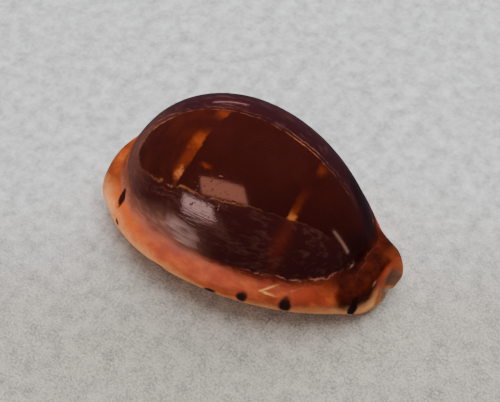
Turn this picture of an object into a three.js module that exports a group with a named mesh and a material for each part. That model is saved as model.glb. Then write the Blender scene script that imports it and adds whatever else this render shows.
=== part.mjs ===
// A cowrie shell: one thin-walled, glossy shell, rolled in on itself so that only a long toothed
// slot is left open underneath. Millimetres, +Z up.
//
// +X points to the narrow front end and +Y to the columella side, so the outer lip is on the -Y side.
// The shell is lofted along X. Every section is a ring that is open only at the slot: an outer
// line from one lip over the back to the other lip, and an inner line that returns along the
// cavity. Both lines are radii around a centre that stands above the slot.
import * as THREE from "three";
import { mergeVertices } from "three/addons/utils/BufferGeometryUtils.js";

// Ends of the two lips, where the back and front canals open.
const BACK_X = -19.6;
const FRONT_X = 20.6;

// The domed back of the shell: half an egg whose point is to the front.
const BACK_DOME = {
  x: -0.6,
  y: 0.4,
  halfLength: 17.6,
  halfWidth: 12,
  rise: 14.2,
  widthTaper: [0.06, 0.02],
  riseTaper: [0.13, 0.09],
};

// The thick margin around the base, which runs past the dome at both ends.
const MARGIN = {
  x: 0.7,
  halfLength: 20.9,
  lipHalfWidth: 13,
  lipTaper: [0.18, -0.02],
  columellaHalfWidth: 11.4,
  columellaTaper: [0.34, 0.03],
  rise: 2.8,
  squareness: 2.4,
  leastWidth: 1.5,
};

// The crease between dome and margin: the higher the number, the sharper it is.
const CREASE = { back: 13, front: 7, from: -12, length: 28 };

// Where the margin swells into the rims of the canals, and the neck before the front one.
const FRONT_RIM = { x: 19.7, spread: 1.5, width: 0.12, columellaWidth: -0.04, rise: 0.02 };
const BACK_RIM = { x: -18.8, spread: 1.6, width: 0.1, rise: 0.1 };
const NECK = { x: 16.4, spread: 2.2, rise: -0.14 };

// How far the rims reach past the ends of the loft: at the lips, and over the top of a canal.
const FRONT_REACH = { columella: 0.9, top: -0.4, lip: -0.2 };
const BACK_REACH = { top: 1, lip: -1 };
const TOP_FOCUS = 1.5; // the higher the number, the smaller the top's share of a rim
const RIM_FADE = 2;
// The front rim is raised at the columella side, and leans to it up to a height.
const FRONT_TILT = { lift: 0.6, lean: 1.7, height: 4 };
const RIM_ROUND = { back: 1, front: 1.8 }; // length over which a rim rounds off
// Where in the wall a rim lies: 0 is its outer side and 1 its inner side.
const RIM_CURL = { back: 0.5, frontLip: 0.15, frontColumella: 1, turn: 0.35 };

// The round base would hang below the flats that it rests on, and lifts off them at the ends.
const BASE_BULGE = 0.42;
const BASE_LIFT = { rise: 0.65, power: 3 };

// Height of the section centre above the base, in the middle and at the ends.
const CENTRE_MIDDLE = 4.9;
const CENTRE_END = 2.9;
const CENTRE_POWER = 2.2; // the higher the number, the longer it stays high

// The slot between the lips bends towards the columella at both ends, and narrows at the front.
const SLOT = { y: -1, halfWidth: 1.05 };
const BACK_BEND = { from: -4, length: 15, offset: 2.6 };
const FRONT_BEND = { from: 8, length: 11, offset: 0.2, narrowing: 0.45 };
const LIP_ROLL = 1; // radius of the lip's outer edge
const LIP_INNER_ROLL = 0.5;
const TEETH = { count: 22, depth: 0.35, length: 2.7 };

// The hollow inside, and the canal that carries it out at both ends.
const WALL = { side: 1.9, top: 1.4, ends: 2.3 };
const NO_WALL = { side: 0, top: 0, ends: 0 };
const CANAL = { margin: 0.35, rise: 1.7, squareness: 2.6 };
const FRONT_CANAL = { margin: 0.1, rise: 0.9 };
const FLOOR_MIDDLE = 2; // from the section centre down to the inside of the lips
const FLOOR_END = 0.9;

// Fineness of the mesh.
const STATIONS = 4 * TEETH.count + 1; // four to a tooth
const RING_POINTS = 36; // on the outer line, and the same on the inner one
const END_DENSITY = 0.35; // how much closer the stations stand at the ends, from 0 to 1
const LIP_DENSITY = 0.4; // how much closer the points stand at the lips, from 0 to 1
const NEARLY_ONE = 0.9999;
const SAME_POINT = 0.001; // points closer than this are one

const clamp = (value, low, high) => Math.min(high, Math.max(low, value));
const ramp = (x, { from, length }) => THREE.MathUtils.smoothstep((x - from) / length, 0, 1);
const bump = (x, { x: at, spread }) => Math.exp(-(((x - at) / spread) ** 2));
const taper = (t, [slope, curve]) => 1 - slope * t - curve * t * t;

// Position along a half-length, from -1 to 1, and the round profile that ends there.
const along = (x, middle, halfLength) =>
  clamp((x - middle) / halfLength, -NEARLY_ONE, NEARLY_ONE);
const roundProfile = (t) => Math.sqrt(1 - t * t);

// Where the section centre stands at x, how far below it the lips' inside is, and the slot.
function centreAt(x) {
  const middleness = 1 - clamp(Math.abs(x) / FRONT_X, 0, 1) ** CENTRE_POWER;
  const backBend = BACK_BEND.offset * ramp(-x, { from: -BACK_BEND.from, length: BACK_BEND.length });
  const frontBend = FRONT_BEND.offset * ramp(x, FRONT_BEND);
  return {
    y: SLOT.y + backBend + frontBend,
    z: THREE.MathUtils.lerp(CENTRE_END, CENTRE_MIDDLE, middleness),
    floor: THREE.MathUtils.lerp(FLOOR_END, FLOOR_MIDDLE, middleness),
    slot: SLOT.halfWidth - FRONT_BEND.narrowing * ramp(x, FRONT_BEND),
  };
}

// Distance from the section centre to an ellipse whose centre is offset sideways from it.
function ellipseRadius(angle, offset, halfWidth, halfHeight) {
  if (Math.abs(offset) >= halfWidth) return 0;
  const [dy, dz] = [Math.cos(angle), Math.sin(angle)];
  const a = (dy / halfWidth) ** 2 + (dz / halfHeight) ** 2;
  const b = (offset * dy) / halfWidth ** 2;
  const c = (offset / halfWidth) ** 2 - 1;
  return Math.max((-b + Math.sqrt(b * b - a * c)) / a, 0);
}

// Distance from the section centre to a squarish ellipse around it.
function squarishRadius(angle, halfWidth, halfHeight, squareness) {
  const across = Math.abs(Math.cos(angle) / halfWidth) ** squareness;
  const upright = Math.abs(Math.sin(angle) / halfHeight) ** squareness;
  return (across + upright) ** (-1 / squareness);
}

function domeRadius(x, angle, centre, wall, floor) {
  const t = along(x, BACK_DOME.x, BACK_DOME.halfLength - wall.ends);
  const size = roundProfile(t);
  const halfWidth = (BACK_DOME.halfWidth - wall.side) * size * taper(t, BACK_DOME.widthTaper);
  const rise = (BACK_DOME.rise - wall.top) * size * taper(t, BACK_DOME.riseTaper);
  const height = Math.sin(angle) < 0 ? floor : rise;
  return ellipseRadius(angle, centre.y - BACK_DOME.y, halfWidth, height);
}

function marginRadius(x, angle, centre, base) {
  const t = along(x, MARGIN.x, MARGIN.halfLength);
  const size = roundProfile(t);
  const front = bump(x, FRONT_RIM);
  const back = bump(x, BACK_RIM);
  const onColumella = Math.cos(angle) > 0;
  const frontWidth = onColumella ? FRONT_RIM.columellaWidth : FRONT_RIM.width;
  const swell = size * (1 + frontWidth * front + BACK_RIM.width * back);
  const width = onColumella
    ? MARGIN.columellaHalfWidth * swell * taper(t, MARGIN.columellaTaper) - centre.y
    : MARGIN.lipHalfWidth * swell * taper(t, MARGIN.lipTaper) + centre.y;
  const lift = 1 + FRONT_RIM.rise * front + BACK_RIM.rise * back + NECK.rise * bump(x, NECK);
  const height = Math.sin(angle) < 0 ? base : MARGIN.rise * lift;
  return squarishRadius(angle, Math.max(width, MARGIN.leastWidth), height, MARGIN.squareness);
}

function outerRadius(x, angle, centre, base) {
  const dome = domeRadius(x, angle, centre, NO_WALL, centre.z);
  const margin = marginRadius(x, angle, centre, base);
  const crease = THREE.MathUtils.lerp(CREASE.back, CREASE.front, ramp(x, CREASE));
  return (dome ** crease + margin ** crease) ** (1 / crease);
}

function innerRadius(x, angle, centre) {
  const hollow = domeRadius(x, angle, centre, WALL, centre.floor);
  const front = ramp(x, FRONT_BEND);
  const rise = THREE.MathUtils.lerp(CANAL.rise, FRONT_CANAL.rise, front);
  const halfWidth = centre.slot + THREE.MathUtils.lerp(CANAL.margin, FRONT_CANAL.margin, front);
  const height = Math.sin(angle) < 0 ? centre.floor : rise;
  const canal = squarishRadius(angle, halfWidth, height, CANAL.squareness);
  return (hollow ** CREASE.back + canal ** CREASE.back) ** (1 / CREASE.back);
}

// How far a rounded edge of this radius has curved away at a distance from its tip.
const roundOff = (distance, radius) =>
  radius * (1 - roundProfile(1 - clamp(distance / radius, 0, 1)));

// Share of the wall's thickness at x: the walls round off to nothing at the rims.
function rimFullness(x) {
  const distance = Math.min((x - BACK_X) / RIM_ROUND.back, (FRONT_X - x) / RIM_ROUND.front);
  return roundProfile(1 - clamp(distance, 0, 1));
}

// How far along the shell a point in this direction is moved, to shape the rims.
function rimReach(x, angle) {
  const top = ((1 + Math.sin(angle)) / 2) ** TOP_FOCUS;
  const columella = Math.max(Math.cos(angle), 0);
  const lip = Math.max(-Math.cos(angle), 0);
  const front = Math.exp(-(FRONT_X - x) / RIM_FADE);
  const back = Math.exp(-(x - BACK_X) / RIM_FADE);
  const frontReach =
    FRONT_REACH.columella * columella + FRONT_REACH.top * top + FRONT_REACH.lip * lip;
  return front * frontReach + back * (BACK_REACH.top * top + BACK_REACH.lip * lip);
}

// Where across the wall the rim lies in this direction: the front one curls in at the columella.
function rimCurl(x, angle) {
  const columella = Math.sqrt(0.5 + 0.5 * Math.cos(angle - RIM_CURL.turn));
  const front = THREE.MathUtils.lerp(RIM_CURL.frontLip, RIM_CURL.frontColumella, columella);
  return THREE.MathUtils.lerp(RIM_CURL.back, front, ramp(x, FRONT_BEND));
}

// Puts a point of a section in its place, with the front rim tilted up to the columella side.
function placed(point, angle, x, centre) {
  const front = Math.exp(-(FRONT_X - x) / RIM_FADE);
  const z = centre.z + point.y + front * FRONT_TILT.lift * (0.5 + 0.5 * Math.cos(angle));
  const lean = FRONT_TILT.lean * ramp(z, { from: 0, length: FRONT_TILT.height });
  const y = centre.y + point.x + front * lean;
  return new THREE.Vector3(x + rimReach(x, angle), y, z);
}

// Points from the columella lip over the back to the outer lip, relative to the section centre.
function sectionLine(centre, startDepth, radiusAt) {
  const start = Math.atan2(-startDepth, centre.slot);
  const points = [];
  for (let i = 0; i < RING_POINTS; i++) {
    const even = i / (RING_POINTS - 1);
    const share = even - (LIP_DENSITY * Math.sin(2 * Math.PI * even)) / (2 * Math.PI);
    const angle = THREE.MathUtils.lerp(start, Math.PI - start, share);
    const radius = radiusAt(angle);
    points.push(new THREE.Vector2(radius * Math.cos(angle), radius * Math.sin(angle)));
  }
  return points;
}

// One ring of the loft: its outer line, and its inner line back. The groove between two teeth is
// cut into both lips.
function ringAt(x, groove) {
  const centre = centreAt(x);
  const lift = BASE_LIFT.rise * Math.abs(x / FRONT_X) ** BASE_LIFT.power;
  const base = centre.z + BASE_BULGE - lift;
  const fullness = rimFullness(x);
  const outer = sectionLine(centre, base, (angle) => outerRadius(x, angle, centre, base));
  const inner = sectionLine(centre, centre.floor, (angle) => innerRadius(x, angle, centre));
  for (let i = 0; i < RING_POINTS; i++) {
    outer[i].y = Math.max(outer[i].y, -centre.z);
    if (outer[i].y < 0) {
      const fromSlot = Math.abs(outer[i].x) - centre.slot;
      const tooth = 1 - ramp(fromSlot, { from: 0, length: TEETH.length });
      outer[i].y += roundOff(fromSlot, LIP_ROLL) + groove * fullness * tooth;
    }
    if (inner[i].y < 0) {
      inner[i].y -= roundOff(Math.abs(inner[i].x) - centre.slot, LIP_INNER_ROLL);
    }
    const angle = inner[i].angle();
    const rim = outer[i].clone().lerp(inner[i], rimCurl(x, angle));
    outer[i] = placed(outer[i].lerp(rim, 1 - fullness), angle, x, centre);
    inner[i] = placed(inner[i].lerp(rim, 1 - fullness), angle, x, centre);
  }
  return [...outer, ...inner.reverse()];
}

// Joins the rings into a closed skin. The last rings close on themselves at the rims, so the
// triangles that vanish there are dropped.
function loft(rings) {
  const around = rings[0].length;
  const index = [];
  for (let i = 0; i + 1 < rings.length; i++) {
    for (let j = 0; j < around; j++) {
      const a = i * around + j;
      const b = i * around + ((j + 1) % around);
      index.push(a, b, b + around, a, b + around, a + around);
    }
  }
  const open = new THREE.BufferGeometry().setFromPoints(rings.flat()).setIndex(index);
  const skin = mergeVertices(open, SAME_POINT);
  const kept = [];
  for (let i = 0; i < skin.index.count; i += 3) {
    const corners = [0, 1, 2].map((k) => skin.index.getX(i + k));
    if (new Set(corners).size === 3) kept.push(...corners);
  }
  skin.setIndex(kept);
  skin.computeVertexNormals();
  return skin;
}

function cowrieGeometry() {
  const rings = [];
  for (let i = 0; i < STATIONS; i++) {
    const even = i / (STATIONS - 1);
    const eased = 0.5 - 0.5 * Math.cos(Math.PI * even);
    const x = THREE.MathUtils.lerp(BACK_X, FRONT_X, THREE.MathUtils.lerp(even, eased, END_DENSITY));
    const groove = TEETH.depth * (0.5 + 0.5 * Math.cos(2 * Math.PI * TEETH.count * even));
    rings.push(ringAt(x, groove));
  }
  const geometry = loft(rings);
  geometry.computeBoundingBox();
  const { min, max } = geometry.boundingBox;
  return geometry.translate(-(min.x + max.x) / 2, -(min.y + max.y) / 2, -min.z);
}

const enamel = new THREE.MeshStandardMaterial({ color: 0x4a1a10, roughness: 0.2, metalness: 0 });

const cowrie = new THREE.Group();
const shell = new THREE.Mesh(cowrieGeometry(), enamel);
shell.name = "shell";
cowrie.add(shell);

export default cowrie;
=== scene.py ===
"""A cowrie shell with its enamel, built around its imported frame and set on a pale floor."""
import math

import bpy
from mathutils import Matrix, Vector


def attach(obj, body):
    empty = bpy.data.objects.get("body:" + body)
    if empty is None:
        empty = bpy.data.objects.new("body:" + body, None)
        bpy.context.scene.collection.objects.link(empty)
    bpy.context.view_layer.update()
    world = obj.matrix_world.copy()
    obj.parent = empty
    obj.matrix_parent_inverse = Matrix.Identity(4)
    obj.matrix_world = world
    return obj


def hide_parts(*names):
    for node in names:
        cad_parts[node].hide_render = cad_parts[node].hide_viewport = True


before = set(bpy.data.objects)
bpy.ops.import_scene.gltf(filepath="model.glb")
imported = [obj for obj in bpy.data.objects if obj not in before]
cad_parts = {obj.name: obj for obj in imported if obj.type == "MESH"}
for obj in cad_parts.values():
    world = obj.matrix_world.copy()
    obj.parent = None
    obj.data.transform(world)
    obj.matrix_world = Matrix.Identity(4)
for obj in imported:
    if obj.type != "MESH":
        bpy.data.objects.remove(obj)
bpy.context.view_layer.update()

bl_info = {
    "name": "Cowrie Shell",
    "version": (1, 0, 0),
    "blender": (4, 5, 0),
    "location": "3D View > Sidebar > Cowrie",
    "description": "Builds a glossy cowrie shell with its toothed slot, and a small stage for it",
    "category": "Object",
}

MM = 0.001
TAU = 2 * math.pi
NEARLY_ONE = 0.9999
SAME_POINT = 0.002 * MM

# Ends of the two lips, in millimetres from the middle of the shell, +X to the narrow front end.
BACK_X = -19.6
FRONT_X = 20.6


# ---------------------------------------------------------------------------------------------
# Node trees as formulas
# ---------------------------------------------------------------------------------------------

class Field:
    """A number that varies over a surface: one output socket of a node tree."""

    def __init__(self, socket):
        self.socket = socket

    def math(self, operation, *others):
        tree = self.socket.node.id_data
        node = tree.nodes.new("ShaderNodeMath")
        node.operation = operation
        for entry, value in zip(node.inputs, (self, *others)):
            plug(value, entry)
        return Field(node.outputs[0])

    def __add__(self, other):
        return self.math("ADD", other)

    def __sub__(self, other):
        return self.math("SUBTRACT", other)

    def __mul__(self, other):
        return self.math("MULTIPLY", other)

    def __truediv__(self, other):
        return self.math("DIVIDE", other)

    def __pow__(self, other):
        return self.math("POWER", other)

    def __neg__(self):
        return self * -1

    def __rsub__(self, other):
        return self.math("MULTIPLY_ADD", -1, other)

    def __rtruediv__(self, other):
        return self ** -1 * other

    __radd__ = __add__
    __rmul__ = __mul__

    def below(self, other):
        """1 where this is less than the other, and 0 elsewhere."""
        return self.math("LESS_THAN", other)

    def clamp(self, low=0.0, high=1.0):
        return self.math("MAXIMUM", low).math("MINIMUM", high)

    def ramp(self, start, length):
        """Rises smoothly from 0 at the start to 1 after the length, which may be negative."""
        node = self.socket.node.id_data.nodes.new("ShaderNodeMapRange")
        node.interpolation_type = "SMOOTHSTEP"
        plug(self, node.inputs["Value"])
        plug(start, node.inputs["From Min"])
        plug(start + length, node.inputs["From Max"])
        return Field(node.outputs["Result"])

    def bump(self, at, spread, strength=1):
        """Full strength at a value, falling off on both sides like a bell."""
        away = (self - at) / spread
        return (-(away * away)).math("EXPONENT") * strength

    def from_wave(self):
        """Brings the -1 to 1 of a sine or a cosine to 0 to 1."""
        return self * 0.5 + 0.5

    def sin(self):
        return self.math("SINE")

    def cos(self):
        return self.math("COSINE")

    def abs(self):
        return self.math("ABSOLUTE")


def plug(value, entry):
    """Links a field or a socket to a node's input, or sets the input to a plain value."""
    if isinstance(value, Field):
        value = value.socket
    if isinstance(value, bpy.types.NodeSocket):
        entry.id_data.links.new(value, entry)
    else:
        entry.default_value = value


def vector_math(tree, operation, a, b):
    node = tree.nodes.new("ShaderNodeVectorMath")
    node.operation = operation
    plug(a, node.inputs[0])
    plug(b, node.inputs["Scale"] if operation == "SCALE" else node.inputs[1])
    return node.outputs[0]


def mix(a, b, share):
    return share * (b - a) + a


def round_profile(t):
    """Half a circle's profile: 1 in the middle, 0 where t is -1 or 1."""
    return (1 - t * t).math("SQRT")


# ---------------------------------------------------------------------------------------------
# The shell's shape
# ---------------------------------------------------------------------------------------------

class ShellShape:
    """The loft of the shell as fields, in millimetres. Every section is a ring that is open only
    at the slot: radii around a centre that stands above the slot. The main sizes are the named
    inputs of the tree. Of the constants, a SPAN is where along x a change starts and how long it
    takes, an AT is where a swelling has its middle and how far it spreads, and a TAPER is how
    much a width or height loses from the middle to an end, in proportion and squared."""

    DOME_X = -0.6
    DOME_Y = 0.4
    DOME_WIDTH_TAPER = (0.06, 0.02)
    DOME_RISE_TAPER = (0.13, 0.09)

    MARGIN_X = 0.7
    MARGIN_HALF_LENGTH = 20.9
    LIP_TAPER = (0.18, -0.02)
    COLUMELLA_TAPER = (0.34, 0.03)
    MARGIN_SQUARENESS = 2.4
    LEAST_WIDTH = 1.5
    FRONT_RIM_AT = (19.7, 1.5)
    FRONT_RIM_SWELL = {"lip": 0.12, "columella": -0.04, "height": 0.02}
    BACK_RIM_AT = (-18.8, 1.6)
    BACK_RIM_SWELL = 0.1
    NECK_AT = (16.4, 2.2)
    NECK_DIP = 0.14

    # How sharp the crease between dome and margin is.
    CREASE_BACK = 13
    CREASE_FRONT = 7
    CREASE_SPAN = (-12, 28)

    # The centre of the sections stands highest in the middle, and bends with the slot.
    CENTRE_MIDDLE = 4.9
    CENTRE_END = 2.9
    CENTRE_POWER = 2.2
    SLOT_Y = -1
    BACK_SPAN = (-4, -15)
    BACK_BEND = 2.6
    FRONT_SPAN = (8, 11)
    FRONT_BEND = 0.2
    FRONT_SLOT_LOSS = 0.45
    BASE_BULGE = 0.42
    BASE_LIFT = 0.65
    BASE_LIFT_POWER = 3

    WALL = {"side": 1.9, "top": 1.4, "ends": 2.3}
    NO_WALL = {"side": 0, "top": 0, "ends": 0}
    FLOOR_MIDDLE = 2
    FLOOR_END = 0.9
    LIP_ROLL_OUTSIDE = 1
    LIP_ROLL_INSIDE = 0.5

    # The canals' heights and their room beside the slot, at the back and in front.
    CANAL_HEIGHTS = (1.7, 0.9)
    CANAL_ROOMS = (0.35, 0.1)
    CANAL_SQUARENESS = 2.6

    # How far from its tip the front rim rounds off, and where across the wall the rims lie, from
    # 0 outside to 1 inside.
    FRONT_ROUNDING = 1.8
    MID_WALL = 0.5
    CURL_TURN = 0.35
    CURL_LIP = 0.15
    CURL_COLUMELLA = 1.0

    # How far the two ends reach, lift and lean, which fades within a short way from them.
    END_LENGTH = 2
    FRONT_REACH = {"columella": 0.9, "top": -0.4, "lip": -0.2}
    TOP_POWER = 1.5
    FRONT_LIFT = 0.6
    FRONT_LEAN = 1.7
    LEAN_HEIGHT = 4

    # How much the points crowd near the ends and near the lips.
    END_DENSITY = 0.35
    LIP_DENSITY = 0.4

    def __init__(self, tree, sizes):
        self.tree = tree
        self.sizes = sizes
        index = Field(tree.nodes.new("GeometryNodeInputIndex").outputs[0])
        ring_points = sizes["Ring Points"]
        columns = ring_points * 2 + 1
        row = (index / columns).math("FLOOR")
        column = (index - row * columns).math("MODULO", ring_points * 2)
        self.even = row / (sizes["Stations"] - 1)
        eased = 0.5 - 0.5 * (self.even * math.pi).cos()
        self.x = mix(BACK_X, FRONT_X, mix(self.even, eased, self.END_DENSITY))
        self.hollow = (ring_points - 0.5).below(column)
        back_along = ring_points * 2 - 1 - column
        ring_even = mix(column, back_along, self.hollow) / (ring_points - 1)
        self.share = ring_even - (ring_even * TAU).sin() * (self.LIP_DENSITY / TAU)
        self.place_centre()

    def place_centre(self):
        """Where the section centre stands, the depth of the lips' inside, and the slot."""
        x = self.x
        middleness = 1 - (x.abs() / FRONT_X).clamp() ** self.CENTRE_POWER
        self.front = x.ramp(*self.FRONT_SPAN)
        self.near_front = ((x - FRONT_X) / self.END_LENGTH).math("EXPONENT")
        bend = x.ramp(*self.BACK_SPAN) * self.BACK_BEND + self.front * self.FRONT_BEND
        self.centre_y = bend + self.SLOT_Y
        self.centre_z = mix(self.CENTRE_END, self.CENTRE_MIDDLE, middleness)
        self.floor = mix(self.FLOOR_END, self.FLOOR_MIDDLE, middleness)
        self.slot = self.sizes["Slot"] * 0.5 - self.front * self.FRONT_SLOT_LOSS
        lift = (x / FRONT_X).abs() ** self.BASE_LIFT_POWER * self.BASE_LIFT
        self.base = self.centre_z + self.BASE_BULGE - lift

    def angle(self, depth):
        """Direction of a point on the line that starts at a depth below the centre."""
        start = (-depth).math("ARCTAN2", self.slot)
        return mix(start, math.pi - start, self.share)

    @staticmethod
    def ellipse_radius(direction, offset, half_width, half_height):
        """Distance from the centre to an ellipse that is offset sideways from it."""
        cosine, sine = direction
        a = (cosine / half_width) ** 2 + (sine / half_height) ** 2
        b = offset * cosine / (half_width * half_width)
        c = (offset / half_width) ** 2 - 1
        radius = ((b * b - a * c).math("SQRT") - b) / a
        return radius.math("MAXIMUM", 0) * offset.abs().below(half_width)

    @staticmethod
    def squarish_radius(direction, half_width, half_height, squareness):
        cosine, sine = direction
        across = (cosine / half_width).abs() ** squareness
        upright = (sine / half_height).abs() ** squareness
        return (across + upright) ** (-1 / squareness)

    @staticmethod
    def taper(t, amounts):
        slope, curve = amounts
        return 1 - t * slope - t * t * curve

    def dome_radius(self, direction, wall, floor):
        half_length = self.sizes["Back Length"] * 0.5 - wall["ends"]
        t = ((self.x - self.DOME_X) / half_length).clamp(-NEARLY_ONE, NEARLY_ONE)
        size = round_profile(t)
        half_width = self.sizes["Back Width"] * 0.5 - wall["side"]
        half_width = half_width * size * self.taper(t, self.DOME_WIDTH_TAPER)
        rise = (self.sizes["Back Rise"] - wall["top"]) * size * self.taper(t, self.DOME_RISE_TAPER)
        height = mix(rise, floor, direction[1].below(0))
        return self.ellipse_radius(direction, self.centre_y - self.DOME_Y, half_width, height)

    def margin_radius(self, direction):
        t = (self.x - self.MARGIN_X) / self.MARGIN_HALF_LENGTH
        t = t.clamp(-NEARLY_ONE, NEARLY_ONE)
        front = self.x.bump(*self.FRONT_RIM_AT)
        back = self.x.bump(*self.BACK_RIM_AT, self.BACK_RIM_SWELL)
        neck = self.x.bump(*self.NECK_AT, self.NECK_DIP)
        rim = self.FRONT_RIM_SWELL
        on_columella = 1 - direction[0].below(0)
        swell = front * mix(rim["lip"], rim["columella"], on_columella) + back + 1
        swell = round_profile(t) * swell
        lip_width = swell * self.taper(t, self.LIP_TAPER) * self.sizes["Lip Width"]
        columella_width = swell * self.taper(t, self.COLUMELLA_TAPER)
        columella_width = columella_width * self.sizes["Columella Width"]
        width = mix(lip_width + self.centre_y, columella_width - self.centre_y, on_columella)
        rise = (front * rim["height"] + back - neck + 1) * self.sizes["Margin Rise"]
        height = mix(rise, self.base, direction[1].below(0))
        width = width.math("MAXIMUM", self.LEAST_WIDTH)
        return self.squarish_radius(direction, width, height, self.MARGIN_SQUARENESS)

    @staticmethod
    def blend(a, b, sharpness):
        """The larger of two radii, with a rounded crease between them."""
        return (a ** sharpness + b ** sharpness) ** (1 / sharpness)

    def outer_line(self):
        """The section's outer points as y and z, how far they stand from the slot, and how far
        the dome stands above the margin there."""
        angle = self.angle(self.base)
        direction = (angle.cos(), angle.sin())
        dome = self.dome_radius(direction, self.NO_WALL, self.centre_z)
        margin = self.margin_radius(direction)
        crease = mix(self.CREASE_BACK, self.CREASE_FRONT, self.x.ramp(*self.CREASE_SPAN))
        radius = self.blend(dome, margin, crease)
        y = direction[0] * radius
        z = (direction[1] * radius).math("MAXIMUM", -self.centre_z)
        from_slot = y.abs() - self.slot
        tooth = 1 - from_slot.ramp(0, self.sizes["Tooth Length"])
        groove = (1 - self.tooth_phase()) * self.sizes["Tooth Depth"] * self.fullness()
        cut = self.round_off(from_slot, self.LIP_ROLL_OUTSIDE) + groove * tooth
        return y, z + cut * z.below(0), from_slot, dome - margin

    def tooth_phase(self):
        """1 on the crest of a tooth and 0 in the groove between two."""
        return 0.5 - (self.even * self.sizes["Teeth"] * TAU).cos() * 0.5

    def inner_line(self):
        """The inner points as y and z: the hollow under the dome, and the canals at its ends."""
        angle = self.angle(self.floor)
        direction = (angle.cos(), angle.sin())
        hollow = self.dome_radius(direction, self.WALL, self.floor)
        height = mix(mix(*self.CANAL_HEIGHTS, self.front), self.floor, direction[1].below(0))
        half_width = self.slot + mix(*self.CANAL_ROOMS, self.front)
        canal = self.squarish_radius(direction, half_width, height, self.CANAL_SQUARENESS)
        radius = self.blend(hollow, canal, self.CREASE_BACK)
        y = direction[0] * radius
        z = direction[1] * radius
        roll = self.round_off(y.abs() - self.slot, self.LIP_ROLL_INSIDE)
        return y, z - roll * z.below(0)

    @staticmethod
    def round_off(distance, radius):
        """How far a rounded edge has curved away at a distance from its tip."""
        return (1 - round_profile(1 - (distance / radius).clamp())) * radius

    def fullness(self):
        """Share of the wall's thickness at x: the walls round off to nothing at the rims."""
        from_front = (FRONT_X - self.x) / self.FRONT_ROUNDING
        ends = (self.x - BACK_X).math("MINIMUM", from_front)
        return round_profile(1 - ends.clamp())

    def curl(self, angle):
        """Where across the wall the rim lies: the front one curls in at the columella."""
        columella = (angle - self.CURL_TURN).cos().from_wave().math("SQRT")
        curled = mix(self.CURL_LIP, self.CURL_COLUMELLA, columella)
        return mix(self.MID_WALL, curled, self.front)

    def reach(self, angle):
        """How far along the shell a point is moved, to shape the rims of the canals."""
        top = angle.sin().from_wave() ** self.TOP_POWER
        columella = angle.cos().math("MAXIMUM", 0)
        lip = (-angle.cos()).math("MAXIMUM", 0)
        far = self.FRONT_REACH
        front = columella * far["columella"] + top * far["top"] + lip * far["lip"]
        near_back = ((BACK_X - self.x) / self.END_LENGTH).math("EXPONENT")
        return self.near_front * front + near_back * (top - lip)

    def place(self):
        """The place of every point in millimetres, and what the enamel reads besides it."""
        outer_y, outer_z, from_slot, above_margin = self.outer_line()
        inner_y, inner_z = self.inner_line()
        angle = inner_z.math("ARCTAN2", inner_y)
        curl = self.curl(angle)
        share = self.fullness()
        y = mix(mix(outer_y, inner_y, curl), mix(outer_y, inner_y, self.hollow), share)
        z = mix(mix(outer_z, inner_z, curl), mix(outer_z, inner_z, self.hollow), share)
        z = z + self.centre_z + self.near_front * angle.cos().from_wave() * self.FRONT_LIFT
        lean = self.near_front * z.ramp(0, self.LEAN_HEIGHT) * self.FRONT_LEAN
        place = self.tree.nodes.new("ShaderNodeCombineXYZ")
        plug(self.x + self.reach(angle), place.inputs["X"])
        plug(y + self.centre_y + lean, place.inputs["Y"])
        plug(z, place.inputs["Z"])
        enamel = {
            "station": self.x,
            "hollow": self.hollow,
            "from_slot": from_slot,
            "above_margin": above_margin,
            "tooth": self.tooth_phase(),
        }
        return place.outputs[0], enamel


# The tree's inputs: the kind of socket and its value, which is in millimetres where it is a size.
SHELL_INPUTS = {
    "Stations": ("NodeSocketInt", 250),
    "Ring Points": ("NodeSocketInt", 190),
    "Back Length": ("NodeSocketFloat", 35.2),
    "Back Width": ("NodeSocketFloat", 24.0),
    "Back Rise": ("NodeSocketFloat", 14.2),
    "Lip Width": ("NodeSocketFloat", 13.0),
    "Columella Width": ("NodeSocketFloat", 11.4),
    "Margin Rise": ("NodeSocketFloat", 2.8),
    "Slot": ("NodeSocketFloat", 2.1),
    "Teeth": ("NodeSocketInt", 22),
    "Tooth Depth": ("NodeSocketFloat", 0.35),
    "Tooth Length": ("NodeSocketFloat", 2.7),
    "Material": ("NodeSocketMaterial", None),
}


def store(tree, flow, name, value, data_type):
    """Keeps a value on the points of a geometry under a name."""
    node = tree.nodes.new("GeometryNodeStoreNamedAttribute")
    node.data_type = data_type
    node.inputs["Name"].default_value = name
    plug(flow, node.inputs["Geometry"])
    plug(value, node.inputs["Value"])
    return node.outputs["Geometry"]


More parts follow.
